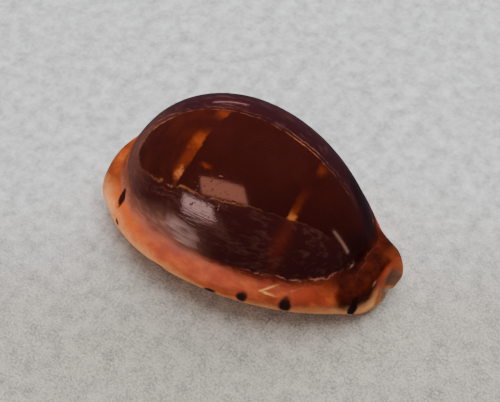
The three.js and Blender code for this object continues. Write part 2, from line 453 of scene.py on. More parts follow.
def shell_tree():
    """The loft as a tree: a grid whose points go to their places, closed and turned outwards."""
    tree = bpy.data.node_groups.new("Cowrie shell", "GeometryNodeTree")
    for name, (kind, default) in SHELL_INPUTS.items():
        entry = tree.interface.new_socket(name, in_out="INPUT", socket_type=kind)
        if default is not None:
            entry.default_value = default
    tree.interface.new_socket("Geometry", in_out="OUTPUT", socket_type="NodeSocketGeometry")
    given = tree.nodes.new("NodeGroupInput").outputs
    sizes = {name: Field(given[name]) for name in SHELL_INPUTS}

    grid = tree.nodes.new("GeometryNodeMeshGrid")
    plug(sizes["Stations"], grid.inputs["Vertices X"])
    plug(sizes["Ring Points"] * 2 + 1, grid.inputs["Vertices Y"])
    place, enamel = ShellShape(tree, sizes).place()
    flow = store(tree, grid.outputs["Mesh"], "place", place, "FLOAT_VECTOR")
    for name, field in enamel.items():
        flow = store(tree, flow, name, field, "FLOAT")
    shape = tree.nodes.new("GeometryNodeSetPosition")
    plug(flow, shape.inputs["Geometry"])
    plug(vector_math(tree, "SCALE", place, MM), shape.inputs["Position"])
    box = tree.nodes.new("GeometryNodeBoundBox")
    plug(shape.outputs["Geometry"], box.inputs["Geometry"])
    middle = vector_math(tree, "ADD", box.outputs["Min"], box.outputs["Max"])
    to_origin = vector_math(tree, "MULTIPLY", middle, (-0.5, -0.5, 0))
    centred = tree.nodes.new("GeometryNodeSetPosition")
    plug(shape.outputs["Geometry"], centred.inputs["Geometry"])
    plug(to_origin, centred.inputs["Offset"])
    merge = tree.nodes.new("GeometryNodeMergeByDistance")
    plug(centred.outputs["Geometry"], merge.inputs["Geometry"])
    plug(SAME_POINT, merge.inputs["Distance"])
    flip = tree.nodes.new("GeometryNodeFlipFaces")
    plug(merge.outputs["Geometry"], flip.inputs["Mesh"])
    smooth = tree.nodes.new("GeometryNodeSetShadeSmooth")
    plug(flip.outputs["Mesh"], smooth.inputs["Geometry"])
    realize = tree.nodes.new("GeometryNodeRealizeInstances")
    plug(smooth.outputs["Geometry"], realize.inputs["Geometry"])
    paint = tree.nodes.new("GeometryNodeSetMaterial")
    plug(realize.outputs["Geometry"], paint.inputs["Geometry"])
    plug(sizes["Material"], paint.inputs["Material"])
    out = tree.nodes.new("NodeGroupOutput")
    plug(paint.outputs["Geometry"], out.inputs["Geometry"])
    return tree


# ---------------------------------------------------------------------------------------------
# Materials
# ---------------------------------------------------------------------------------------------

def shade(code):
    """A colour written as six hexadecimal digits, as the linear values that the nodes take."""
    levels = [int(code[i:i + 2], 16) / 255 for i in (0, 2, 4)]
    # The sRGB curve: straight near black, and a power above that.
    return tuple(((v + 0.055) / 1.055) ** 2.4 if v > 0.04045 else v / 12.92 for v in levels)


def new_material(name):
    material = bpy.data.materials.new(name)
    material.use_nodes = True
    return material, material.node_tree, material.node_tree.nodes["Principled BSDF"]


def attribute(tree, name, output="Fac"):
    node = tree.nodes.new("ShaderNodeAttribute")
    node.attribute_name = name
    return Field(node.outputs[output])


def axes(tree, vector):
    node = tree.nodes.new("ShaderNodeSeparateXYZ")
    plug(vector, node.inputs[0])
    return [Field(output) for output in node.outputs]


def noise(tree, vector, scale, detail=2.0, roughness=0.5, seed=0.0):
    node = tree.nodes.new("ShaderNodeTexNoise")
    node.noise_dimensions = "4D"
    plug(vector, node.inputs["Vector"])
    node.inputs["W"].default_value = seed
    node.inputs["Scale"].default_value = scale
    node.inputs["Detail"].default_value = detail
    node.inputs["Roughness"].default_value = roughness
    return Field(node.outputs["Fac"])


PIT_EDGE = (0.3, -0.25)  # where a pit's wall starts and how wide it is, in cells


def pits(tree, vector, scale):
    """Small round pits: 1 in their middle and 0 between them."""
    node = tree.nodes.new("ShaderNodeTexVoronoi")
    plug(vector, node.inputs["Vector"])
    node.inputs["Scale"].default_value = scale
    return Field(node.outputs["Distance"]).ramp(*PIT_EDGE)


def tint(tree, below, above, share):
    """Lays one colour over another by a share from 0 to 1."""
    node = tree.nodes.new("ShaderNodeMix")
    node.data_type = "RGBA"
    plug(share, node.inputs["Factor"])
    for name, colour in (("A", below), ("B", above)):
        entry = next(i for i in node.inputs if i.name == name and i.type == "RGBA")
        plug(colour if isinstance(colour, bpy.types.NodeSocket) else (*colour, 1), entry)
    return next(o for o in node.outputs if o.type == "RGBA")


FINER_PATCHES = 0.3  # share of the finer of the mottle's two sizes


def mottle_group():
    """Uneven patches at two sizes, shared by the enamel and the floor."""
    tree = bpy.data.node_groups.new("Mottle", "ShaderNodeTree")
    tree.interface.new_socket("Vector", in_out="INPUT", socket_type="NodeSocketVector")
    tree.interface.new_socket("Size", in_out="INPUT", socket_type="NodeSocketFloat")
    tree.interface.new_socket("Contrast", in_out="INPUT", socket_type="NodeSocketFloat")
    tree.interface.new_socket("Share", in_out="OUTPUT", socket_type="NodeSocketFloat")
    given = tree.nodes.new("NodeGroupInput").outputs
    per_size = 1 / Field(given["Size"])
    large = vector_math(tree, "SCALE", given["Vector"], per_size)
    coarse = noise(tree, large, scale=1, detail=3, roughness=0.55, seed=2)
    finer = noise(tree, large, scale=3.7, detail=2, roughness=0.5, seed=5)
    patches = mix(coarse, finer, FINER_PATCHES)
    share = ((patches - 0.5) * Field(given["Contrast"]) + 0.5).clamp()
    out = tree.nodes.new("NodeGroupOutput")
    plug(share, out.inputs["Share"])
    return tree


def mottle(tree, vector, size, contrast):
    """Patches of about a size, from 0 to 1 with 0.5 in the middle."""
    node = tree.nodes.new("ShaderNodeGroup")
    node.node_tree = bpy.data.node_groups.get("Mottle") or mottle_group()
    plug(vector, node.inputs["Vector"])
    node.inputs["Size"].default_value = size
    node.inputs["Contrast"].default_value = contrast
    return Field(node.outputs["Share"])


# Dark spots of the margin: place along the shell, height, half length, half height, in mm.
MARGIN_SPOTS = (
    (-14.3, 6.1, 0.45, 0.65),
    (-13.6, 4.4, 0.35, 0.4),
    (-5.6, 3.5, 1.3, 0.5),
    (2.1, 3.9, 0.7, 0.6),
    (6.2, 4.6, 0.7, 1.1),
    (11.2, 4.3, 0.75, 1.5),
    (18.3, 3.2, 0.42, 1.7),
)
FAR_SHIFT = -2.7  # how far the spots of the far side are moved along the shell


class Enamel:
    """The glossy skin: a dark back with pale bands, a milky coat over its sides, an orange margin
    with dark spots, and a pale toothed base. Places are in millimetres. What a ramp takes is a
    start and a length, what a bump takes is a middle, a spread and a strength, and the amounts
    that uneven takes are how far an edge wanders by each kind of noise."""

    LIP_SIDE_Y = -0.5
    ALONG = (0.25, 1.6, 1.6)

    def __init__(self, look):
        self.look = look
        self.material, self.tree, self.shader = new_material("shell enamel")
        tree = self.tree
        self.place = attribute(tree, "place", "Vector").socket
        self.x, self.y, self.z = axes(tree, self.place)
        self.station = attribute(tree, "station")
        self.hollow = attribute(tree, "hollow")
        self.from_slot = attribute(tree, "from_slot")
        self.above_margin = attribute(tree, "above_margin")
        self.tooth = attribute(tree, "tooth")
        self.lip_side = self.y.below(self.LIP_SIDE_Y)
        self.waver = self.noise(scale=0.35, detail=3, roughness=0.6, seed=1) - 0.5
        self.fine = self.noise(scale=1.6, detail=4, roughness=0.65, seed=3) - 0.5
        along = self.stretched(self.ALONG)
        self.streaks = noise(tree, along, scale=1, detail=4, roughness=0.6, seed=9) - 0.5
        self.coat_edge = self.loop()
        self.margin_edge = self.uneven(self.margin_line() - self.z, waver=1.6)
        self.margin_share = self.margin_area()
        self.milk = self.milky()
        self.dark_front = self.dark_neck()

    def stretched(self, scales):
        """The place with its axes scaled, so that a pattern is drawn out along the shell."""
        return vector_math(self.tree, "MULTIPLY", self.place, scales)

    def noise(self, **settings):
        return noise(self.tree, self.place, **settings)

    def uneven(self, value, waver=0, fine=0, streaks=0):
        """The value with broad, fine or streaky noise added by these amounts."""
        for unevenness, amount in ((self.waver, waver), (self.fine, fine), (self.streaks, streaks)):
            if amount:
                value = unevenness * amount + value
        return value

    def colours(self):
        """The enamel's colour, laid on from the back outwards to the base."""
        colour = self.back_colour()
        colour = self.coat(colour)
        colour = self.margin(colour)
        colour = self.front_end(colour)
        colour = tint(self.tree, colour, self.look.spot, self.spots())
        return self.underside(colour)

    AMBER = {"behind": (-4.5, -2.5), "patches": (0.4, 0.25), "strength": 0.28}

    def back_colour(self):
        """Dark with deeper patches, amber towards the back end, and two pale bands across."""
        tree, look = self.tree, self.look
        depth = mottle(tree, self.place, size=5, contrast=1.6)
        colour = tint(tree, look.back, look.back_deep, depth)
        patches = self.noise(scale=0.3, detail=3, roughness=0.6, seed=7)
        amber = self.x.ramp(*self.AMBER["behind"]) * patches.ramp(*self.AMBER["patches"])
        colour = tint(tree, colour, look.amber, amber * self.AMBER["strength"])
        for patch, brightness in (self.left_band(), self.right_band()):
            band = tint(tree, look.band, look.band_bright, brightness)
            colour = tint(tree, colour, band, patch)
        return colour

    LEFT_BAND = {
        "lean": -0.16,
        "back edge": (-6.2, 1.1),
        "front edge": (-4.1, -0.35),
        "top": (1.4, 0.8, 0.5),
        "middle": (-3.1, 1.1, 0.85),
        "near": (-5.3, 1.1, 0.5),
        "end": (-6.9, 0.6),
        "end edge": (-5.8, 1),
        "streak lean": 0.2,
        "streak x": (-3.9, 0.6, 0.7),
        "streak y": (-5.4, 0.25),
        "strength": 0.85,
        "glow": {"end": 0.8, "top": 0.2, "middle": 0.15},
    }

    def left_band(self):
        """Patches across the back with a thin streak beside them, and how bright they are."""
        band, glow = self.LEFT_BAND, self.LEFT_BAND["glow"]
        x = self.uneven(self.x + self.y * band["lean"], waver=1.6, fine=0.7)
        y = self.uneven(self.y, fine=2)
        line = x.ramp(*band["back edge"]) * x.ramp(*band["front edge"])
        top = self.uneven(self.y, waver=2).bump(*band["top"])
        middle = y.bump(*band["middle"])
        near = self.y.bump(*band["near"])
        end = y.bump(*band["end"]) * x.ramp(*band["end edge"])
        streak = (self.x + self.y * band["streak lean"]).bump(*band["streak x"])
        streak = streak * self.uneven(self.y, fine=1).bump(*band["streak y"])
        share = line * (top + middle + near + end) + streak
        brightness = end * glow["end"] + top * glow["top"] + middle * glow["middle"]
        return share.clamp() * band["strength"], brightness

    RIGHT_BAND = {
        "back edge": (7.9, 0.6),
        "front edge": (9.4, -0.7),
        "far": (2.6, 0.8, 0.4),
        "widening": (0, -4),
        "widest": (-5.2, 0.6),
        "triangle": 0.36,
        "end": (-4.7, 0.65),
        "trail from": (-4.5, -0.5),
        "trail": 0.15,
        "strength": 0.9,
        "glow": 0.8,
    }

    def right_band(self):
        """A patch that widens towards the outer lip and ends bright, and how bright it is."""
        band = self.RIGHT_BAND
        x = self.uneven(self.x, waver=1.4, fine=0.7)
        wide = x.ramp(*band["back edge"]) * x.ramp(*band["front edge"])
        far = self.uneven(self.y, waver=2).bump(*band["far"])
        triangle = self.y.ramp(*band["widening"]) * self.y.ramp(*band["widest"]) * band["triangle"]
        end = self.uneven(self.y, fine=1.5).bump(*band["end"])
        trail = self.y.ramp(*band["trail from"]) * band["trail"]
        share = wide * (far + triangle + end + trail)
        return share.clamp() * band["strength"], end * band["glow"]

    # The coat's edge from above: a leaf that leans, and narrows to the front on the lip's side.
    LEAF = {
        "x": 1.5,
        "y": -2.1,
        "lean": 0.13,
        "half length": 15.3,
        "half width": 5.6,
        "narrows from": -1,
        "narrowing": 0.16,
    }

    def loop(self):
        """Signed distance to the coat's edge, a leaf shape seen from above: below 0 inside."""
        leaf = self.LEAF
        from_middle = self.x - leaf["x"]
        along = from_middle / leaf["half length"]
        offset = self.y - leaf["y"] - from_middle * leaf["lean"]
        narrowing = (self.x - leaf["narrows from"]).math("MAXIMUM", 0) * leaf["narrowing"]
        near_width = leaf["half width"] - narrowing
        across = (offset / leaf["half width"]).math("MAXIMUM", -offset / near_width)
        radius = (along * along + across * across).math("SQRT")
        return self.uneven((radius - 1) * leaf["half width"], waver=1.1, fine=0.25)

    MILK = {
        "top": 12.9,
        "falls behind": (-5, -9),
        "fall": 3.4,
        "depth": (0, 4.6),
        "front end": (2.5, -7),
        "side": (-3, -4),
        "past edge": (0.1, 1.2),
    }

    def milky(self):
        """Where the coat is thick and pale: low on the outer lip's side, behind the middle."""
        milk = self.MILK
        top = milk["top"] - self.x.ramp(*milk["falls behind"]) * milk["fall"]
        depth = self.uneven(top - self.z, waver=2).ramp(*milk["depth"])
        ends = self.uneven(self.x, fine=-2).ramp(*milk["front end"]) * self.y.ramp(*milk["side"])
        return (depth * ends * self.coat_edge.ramp(*milk["past edge"])).clamp()

    COAT = {
        "edge": (-0.1, 0.2),
        "strength": 0.94,
        "stretch": (0.45, 1, 1),
        "far clouds": 0.8,
        "brown behind": (-9, -6),
        "brown side": (4, -8),
        "brown": 0.26,
        "most streaks": 0.4,
        "streaks": 0.4,
        "milk": 0.72,
    }

    def coat(self, colour):
        """Lays the coat over the back outside its edge, with a thin line along that edge."""
        coat = self.coat_tone()
        # The satin share lays a painted highlight over the coat.
        coat = tint(self.tree, coat, self.look.satin_highlight, self.satin_highlight())
        coat = tint(self.tree, coat, self.look.margin_red, self.band_through_coat())
        outside = self.coat_edge.ramp(*self.COAT["edge"]) * self.COAT["strength"]
        colour = tint(self.tree, colour, coat, outside)
        return tint(self.tree, colour, self.look.gold, self.coat_line())

    def coat_tone(self):
        """The coat's own colour: thin and dark, cloudy on the far side, grey where it is milky."""
        tree, look, coat = self.tree, self.look, self.COAT
        clouds = mottle(tree, self.stretched(coat["stretch"]), size=3.2, contrast=3)
        near = mix(clouds * coat["far clouds"], 1.0, self.lip_side)
        thin = tint(tree, look.coat_far, look.coat_dark, near)
        side = self.uneven(self.y, waver=-5).ramp(*coat["brown side"])
        brown = self.x.ramp(*coat["brown behind"]) * side * coat["brown"]
        streaky = self.uneven(0, waver=1, streaks=1.6).clamp(0, coat["most streaks"])
        milk = self.milk * self.uneven(coat["milk"], waver=0.8, streaks=1.3)
        share = (milk + brown + streaky * coat["streaks"]).clamp()
        return tint(tree, thin, look.coat_grey, share)

    # The pale satin patch is a painted highlight of the window on the milky coat.
    SATIN_HIGHLIGHT = {
        "x": -3.2,
        "z": 9.6,
        "half length": 2.6,
        "half height": 1.5,
        "lean": 0.1,
        "edge": (1.6, -1.6),
        "front edge": (-0.9, 0.25, -0.3),
        "strength": 0.5,
    }

    def satin_highlight(self):
        """A painted highlight of the window on the milky coat: a pale patch with a jagged front
        edge.
        """
        patch = self.SATIN_HIGHLIGHT
        along = self.uneven(self.x - patch["x"], waver=2, fine=2) / patch["half length"]
        up = self.uneven(self.z - patch["z"], streaks=3) + self.x * patch["lean"]
        up = up / patch["half height"]
        area = (along * along + up * up).ramp(*patch["edge"]) * self.lip_side
        at, start, length = patch["front edge"]
        jagged = self.uneven(self.x - at, fine=2.6).ramp(start, length)
        return area * jagged * self.uneven(patch["strength"], streaks=2)

    THROUGH_COAT = {"x": (8.4, 0.8), "y": (-7.0, 2.2), "strength": 0.2}

    def band_through_coat(self):
        """The front band, where it shows faintly through the coat."""
        through = self.THROUGH_COAT
        along = self.uneven(self.x, waver=2).bump(*through["x"])
        return along * self.y.bump(*through["y"]) * self.lip_side * through["strength"]

    # Brightness of the coat's edge line beside the bands and elsewhere, and of the lines near it.
    COAT_LINE = {
        "near side": (-0.5, -2),
        "near": ((-5.8, 2.6, 0.7), (0.5, 3, 0.36)),
        "near elsewhere": 0.12,
        "far": ((5.6, 2.2), (-13.2, 1.5, 0.8)),
        "far elsewhere": 0.25,
        "gaps": (0.36, 0.22),
        "line": (0, 0.07),
        "second far line": (0.55, 0.07, 0.6),
        "bundle x": (-7.2, 1.6, 0.45),
        "bundle": ((0.45, 0.06), (0.8, 0.05, 0.6)),
        "front end": (14, -3),
        "strength": 0.8,
    }

    def coat_line(self):
        """The thin broken line along the coat's edge, brightest beside the bands."""
        line = self.COAT_LINE
        near_side = self.y.ramp(*line["near side"])
        near = sum(self.x.bump(*bump) for bump in line["near"]) + line["near elsewhere"]
        far = sum(self.x.bump(*bump) for bump in line["far"]) + line["far elsewhere"]
        broken = self.noise(scale=0.7, detail=3, roughness=0.7, seed=17).ramp(*line["gaps"])
        second = self.coat_edge.bump(*line["second far line"]) * (1 - near_side)
        bundle = sum(self.coat_edge.bump(*bump) for bump in line["bundle"])
        bundle = bundle * self.x.bump(*line["bundle x"]) * near_side
        lines = self.uneven(self.coat_edge, fine=0.2).bump(*line["line"]) + second + bundle
        lines = lines * broken * mix(far, near, near_side) * self.x.ramp(*line["front end"])
        return lines.clamp() * line["strength"]

    # The margin's upper boundary falls from its top beyond a place, over a length, by a power.
    MARGIN_TOP = 7.8
    MARGIN_FALL_BACK = {"from": 5, "length": 19, "power": 2, "fall": 1.7}
    MARGIN_FALL_FRONT = {"from": -3, "length": 14, "power": 1.5, "fall": 1.2}
    MARGIN_AREA = {
        "neck": (16.9, 0.5),
        "flange": (-0.1, -0.7),
        "flange behind": (-8, -4),
        "soft in front": 1.9,
        "soft behind": 2.8,
        "softer behind": (4, -8),
    }

    def margin_line(self):
        """Height of the margin's upper boundary, lowest at both ends."""
        height = self.MARGIN_TOP
        falls = ((-1, self.MARGIN_FALL_BACK), (1, self.MARGIN_FALL_FRONT))
        for way, fall in falls:
            beyond = ((self.x - fall["from"]) * way).math("MAXIMUM", 0) / fall["length"]
            height = height - beyond ** fall["power"] * fall["fall"]
        return height

    def margin_area(self):
        """Where the margin shows: below its boundary, beyond the neck and on the flange. The flange
        starts a little below the crease, so the crease at the dome's foot keeps the dark coat:
        partly the coat's own reach, partly painted shade.
        """
        area = self.MARGIN_AREA
        below = self.uneven(self.margin_edge, fine=0.3, streaks=1.2)
        neck = self.x.ramp(*area["neck"])
        # Starting the flange below the crease keeps the crease dark: partly the coat, partly
        # painted shade.
        flange = self.above_margin.ramp(*area["flange"]) * self.x.ramp(*area["flange behind"])
        behind = self.x.ramp(*area["softer behind"])
        softness = mix(area["soft in front"], area["soft behind"], behind)
        return (below.ramp(softness * -0.5, softness) + neck + flange).clamp()

    MARGIN = {
        "stretch": (0.6, 1, 1),
        "upper": (0.2, 2.4),
        "upper in front": (-6, 6),
        "upper loss": 0.2,
        "flames": (-0.3, 0.5),
        "flames from": (-2, 6),
        "red patches": 0.85,
        "red upper": 0.5,
        "red loss behind": 0.35,
        "behind": (-5, -9),
        "paler behind": (0, -12),
    }
    # Cream of the margin's lower edge: partly its own colour, partly painted light where that edge
    # faces away from the lamps.
    CREAM_AND_LIGHT = {
        "top": 4.8,
        "height": (0, 1.9),
        "behind": (2, -8),
        "around": (10, -12),
        "higher behind": 1.2,
        "strength": 1.15,
        "patches": -0.5,
    }

    def margin(self, colour):
        """Orange with redder patches, paler behind, cream along its lower edge that is partly
        painted light, and a painted glint.
        """
        tree, look, margin = self.tree, self.look, self.MARGIN
        patches = mottle(tree, self.stretched(margin["stretch"]), size=2.2, contrast=3.2)
        upper = self.uneven(self.margin_edge, fine=1).ramp(*margin["upper"])
        upper = 1 - upper * (1 - self.x.ramp(*margin["upper in front"]) * margin["upper loss"])
        flames = self.uneven(0, waver=2.4, streaks=1.6).clamp(*margin["flames"])
        flames = flames * self.x.ramp(*margin["flames from"])
        red = patches * margin["red patches"] + upper * margin["red upper"] + flames
        red = red.clamp() * (1 - self.x.ramp(*margin["behind"]) * margin["red loss behind"])
        paler = self.x.ramp(*margin["paler behind"])
        orange = tint(tree, look.margin, look.margin_pale, paler)
        orange = tint(tree, orange, look.margin_red, red)
        orange = tint(tree, orange, look.cream_and_light, self.cream_and_light_share(patches))
        orange = tint(tree, orange, look.rust, self.scorched())
        orange = tint(tree, orange, look.margin_red, self.specks())
        colour = tint(tree, colour, orange, self.margin_share)
        # A painted glint of the window on the margin, laid over it last.
        return tint(tree, colour, look.painted_glint, self.painted_glint())

    def cream_and_light_share(self, patches):
        """How much cream shows: the margin's own pale lower edge, spread higher as painted light
        low on the margin and at the back end.
        """
        cream_and_light = self.CREAM_AND_LIGHT
        behind = self.x.ramp(*cream_and_light["behind"]) * self.y.ramp(*cream_and_light["around"])
        depth = cream_and_light["top"] - self.z + behind * cream_and_light["higher behind"]
        share = self.uneven(depth, waver=2.5, fine=1).ramp(*cream_and_light["height"])
        return share * (patches * cream_and_light["patches"] + cream_and_light["strength"])

    SCORCHED = {
        "behind": (-12.5, -1.5),
        "above": (3.2, 1.6),
        "side": (-9, 4),
        "far side": (3, -4),
        "tone": 0.9,
        "strength": 0.8,
    }

    def scorched(self):
        """Rusty patches on top of the flange at the back end."""
        patch = self.SCORCHED
        area = self.x.ramp(*patch["behind"]) * self.uneven(self.z, waver=3).ramp(*patch["above"])
        area = area * self.y.ramp(*patch["side"]) * self.y.ramp(*patch["far side"])
        return area * self.uneven(patch["tone"], waver=3).clamp() * patch["strength"]

    SPECKS = {"scale": 1.1, "where": (0.5, 0.2), "strength": 0.5}

    def specks(self):
        """Small redder specks in some places of the margin."""
        where = self.noise(scale=0.3, detail=2, roughness=0.5, seed=19)
        specks = pits(self.tree, self.place, self.SPECKS["scale"])
        return specks * where.ramp(*self.SPECKS["where"]) * self.SPECKS["strength"]

    # A painted glint of the window's edge on the margin, drawn as two strokes from a point: how
    # steeply each rises, and its middle and spread along the shell.
    PAINTED_GLINT = {
        "x": 8.1,
        "z": 6.1,
        "length": 1.9,
        "strokes": ((0.36, (0.7, 0.75)), (-0.22, (0.9, 0.9))),
        "half width": 0.1,
        "point": (7.8, 0.3),
        "strength": 0.85,
    }

    def painted_glint(self):
        """A painted glint on the margin where the window's edge is mirrored: two pale strokes that
        meet in a point.
        """
        painted_glint = self.PAINTED_GLINT
        x = self.uneven(self.x, fine=0.25) - painted_glint["x"]
        z = self.uneven(self.z, fine=0.15) - painted_glint["z"]
        along = x.clamp(0, painted_glint["length"])
        strokes = sum(
            (z - along * slope).bump(0, painted_glint["half width"]) * x.bump(*stroke)
            for slope, stroke in painted_glint["strokes"]
        )
        point = self.x.ramp(*painted_glint["point"])
        return strokes.clamp() * point * self.lip_side * painted_glint["strength"]

    NECK = {
        "along": (12.2, 3.2),
        "rim": (20.3, -0.7),
        "height": 1.8,
        "lowest": 4.6,
        "lower in front": (15.5, 2.0),
        "lowering": 2.2,
        "lean": 0.5,
        "lean from": 4.0,
        "most lean": 3,
        "far side": (2, 4),
        "further back": 5,
    }

    def dark_neck(self):
        """The dark brown of the neck, down to just above the base."""
        neck = self.NECK
        above = self.uneven(self.z, waver=1.6, fine=0.8)
        lean = (self.z - neck["lean from"]).clamp(0, neck["most lean"]) * neck["lean"]
        along = self.uneven(self.x, waver=3) - lean
        along = along + self.y.ramp(*neck["far side"]) * neck["further back"]
        lowest = neck["lowest"] - self.x.ramp(*neck["lower in front"]) * neck["lowering"]
        before_rim = self.station.ramp(*neck["rim"])
        return along.ramp(*neck["along"]) * before_rim * above.ramp(lowest, neck["height"])

    FRONT_END = {
        "rusty below": (8.2, -2.8),
        "brown": 0.97,
        "knob": (17.8, 2.4),
        "knob side": (0.6, 1.4),
        "knob tone": 0.75,
        "rim": (20.1, 0.35),
        "rim above": (1.2, 1.0),
        "rim strength": 0.85,
    }

    def front_end(self, colour):
        """Dark brown around the neck, paler lines where the coats end, an orange canal rim."""
        tree, look, front = self.tree, self.look, self.FRONT_END
        patches = mottle(tree, self.place, size=1.5, contrast=4)
        brown = tint(tree, look.neck, look.rust, patches * self.z.ramp(*front["rusty below"]))
        colour = tint(tree, colour, brown, self.dark_front * front["brown"])
        colour = tint(tree, colour, look.callus, self.callus_lines())
        knob = self.station.ramp(*front["knob"])
        knob = knob * self.uneven(self.y, waver=3).ramp(*front["knob side"])
        knob = knob * self.uneven(front["knob tone"], fine=1).clamp()
        colour = tint(tree, colour, look.knob, knob)
        rim = self.station.ramp(*front["rim"]) * (1 - self.hollow)
        rim = rim * self.z.ramp(*front["rim above"]) * front["rim strength"]
        return tint(tree, colour, look.rim, rim)

    CALLUS = {
        "line": (-0.6, 0.08),
        "line from": (4, 3),
        "line to": (15.6, -0.8),
        "second": (0.3, 0.06),
        "second x": (11.0, 2.8, 0.8),
        "over neck": (17.0, 0.07, 0.16),
        "neck above": (5.6, 0.6),
        "gaps": (0.35, 0.25),
        "strength": 0.75,
    }

    def callus_lines(self):
        """Thin broken lines: two along the margin's edge in front, and one over the neck."""
        callus = self.CALLUS
        edge = self.uneven(self.margin_edge, fine=0.6)
        line = edge.bump(*callus["line"])
        line = line * self.x.ramp(*callus["line from"]) * self.x.ramp(*callus["line to"])
        second = self.uneven(edge, waver=1).bump(*callus["second"])
        second = second * self.x.bump(*callus["second x"])
        over_neck = self.uneven(self.x, waver=2).bump(*callus["over neck"])
        over_neck = over_neck * self.z.ramp(*callus["neck above"])
        broken = self.noise(scale=0.9, detail=3, roughness=0.7, seed=23).ramp(*callus["gaps"])
        return ((line + over_neck + second) * broken).clamp() * callus["strength"]

    SPOT_EDGE = (1.5, -1.1)

    def spots(self):
        """Dark spots of the margin, on both sides."""
        x = self.uneven(self.x, waver=1.2, fine=0.6)
        z = self.uneven(self.z, waver=0.8, fine=0.6)
        x = x - (1 - self.lip_side) * FAR_SHIFT
        nearest = None
        for at_x, at_z, half_length, half_height in MARGIN_SPOTS:
            along = (x - at_x) / half_length
            up = (z - at_z) / half_height
            radius = along * along + up * up
            nearest = radius if nearest is None else nearest.math("MINIMUM", radius)
        return nearest.ramp(*self.SPOT_EDGE)

    UNDERSIDE = {
        "height": (2.2, -1.6),
        "from slot": (7.5, -4),
        "strength": 0.85,
        "behind canal": (19.0, -1.5),
        "teeth": (3.4, -1.4),
        "teeth height": (2.6, -0.8),
        "inside": (14, -3),
    }

    def underside(self, colour):
        """The pale base, the teeth beside the slot, and the inside of the hollow and canals; the
        front of the hollow takes the darker canal colour as painted shade.
        """
        tree, look, under = self.tree, self.look, self.UNDERSIDE
        base = self.z.ramp(*under["height"]) * self.from_slot.ramp(*under["from slot"])
        behind_canal = self.x.ramp(*under["behind canal"])
        colour = tint(tree, colour, look.base, base * behind_canal * under["strength"])
        teeth = self.from_slot.ramp(*under["teeth"]) * self.z.ramp(*under["teeth height"])
        ridges = tint(tree, look.groove, look.tooth, self.tooth)
        colour = tint(tree, colour, ridges, teeth * behind_canal)
        # In front of station 14 the hollow takes the darker canal colour: painted shade of the
        # hollow seen through the slot.
        inside = tint(tree, look.canal, look.inside, self.station.ramp(*under["inside"]))
        return tint(tree, colour, inside, self.hollow)

    ROUGHNESS = {"back": 0.07, "worn": 0.08, "margin": 0.66, "margin share": 0.85, "milk": 0.1}

    def roughness(self):
        """Glossy on the back and the dark neck, duller on the margin and the milky coat."""
        rough = self.ROUGHNESS
        worn = mottle(self.tree, self.place, size=2, contrast=1.2) * rough["worn"] + rough["back"]
        margin = self.margin_share * (1 - self.dark_front) * rough["margin share"]
        return mix(worn, rough["margin"], margin) + self.milk * rough["milk"]

    RELIEF = {
        "depth": 0.08,
        "knocked x": (-1, 3),
        "knocked y": (-7.5, 2.2),
        "worn scale": 2.4,
        "worn": 0.22,
        "rare scale": 0.8,
        "rare where": (0.55, 0.1),
        "rare": 0.3,
        "line stretch": (0.4, 5, 5),
        "lines past edge": (0.1, 1.2),
        "lines behind": (2, -4),
        "lines": 0.5,
    }

    def relief(self):
        """Pits where the back has been knocked, and fine lines along the milky coat."""
        tree, relief = self.tree, self.RELIEF
        knocked = self.x.bump(*relief["knocked x"]) * self.y.bump(*relief["knocked y"])
        worn = pits(tree, self.place, relief["worn scale"]) * knocked
        where = self.noise(scale=0.5, detail=2, roughness=0.5, seed=27)
        rare = pits(tree, self.place, relief["rare scale"]) * where.ramp(*relief["rare where"])
        coated = self.coat_edge.ramp(*relief["lines past edge"]) * self.lip_side
        along = self.stretched(relief["line stretch"])
        lines = noise(tree, along, scale=1, detail=2, roughness=0.5, seed=29)
        lines = lines * coated * self.x.ramp(*relief["lines behind"])
        return lines * relief["lines"] - worn * relief["worn"] - rare * relief["rare"]

    def finish(self):
        tree, shader = self.tree, self.shader
        plug(self.colours(), shader.inputs["Base Color"])
        plug(self.roughness(), shader.inputs["Roughness"])
        bump = tree.nodes.new("ShaderNodeBump")
        bump.inputs["Distance"].default_value = self.RELIEF["depth"] * MM
        plug(self.relief(), bump.inputs["Height"])
        plug(bump.outputs[0], shader.inputs["Normal"])
        return self.material


# ---------------------------------------------------------------------------------------------
# What a user can change
# ---------------------------------------------------------------------------------------------

def rgb(name, description, code):
    return bpy.props.FloatVectorProperty(
        name=name, description=description, subtype="COLOR", size=3, min=0, max=1,
        default=shade(code),
    )


def millimetres(name, description, least, most):
    """A size that the shell's tree takes under the same name."""
    return bpy.props.FloatProperty(
        name=name, description=f"{description}, in millimetres", min=least, max=most,
        default=SHELL_INPUTS[name][1],
    )


class CowrieSizes(bpy.types.PropertyGroup):
    back_length: millimetres("Back Length", "Length of the domed back", 25, 38)
    back_width: millimetres("Back Width", "Width of the domed back", 18, 26)
    back_rise: millimetres("Back Rise", "Height of the back above the sections' centre", 8, 18)
    lip_width: millimetres("Lip Width", "Reach of the margin on the outer lip's side", 10, 15)
    columella_width: millimetres("Columella Width", "Reach of the margin on the other side", 9, 14)
    margin_rise: millimetres("Margin Rise", "Height of the margin above the centre", 1, 5)
    slot: millimetres("Slot", "Width of the slot between the lips", 1, 3)
    teeth: bpy.props.IntProperty(
        name="Teeth", description="Teeth along each lip", min=8, max=40,
        default=SHELL_INPUTS["Teeth"][1],
    )
    tooth_depth: millimetres("Tooth Depth", "Depth of the grooves between teeth", 0, 0.5)
    tooth_length: millimetres("Tooth Length", "Length of the teeth across the lips", 1, 5)


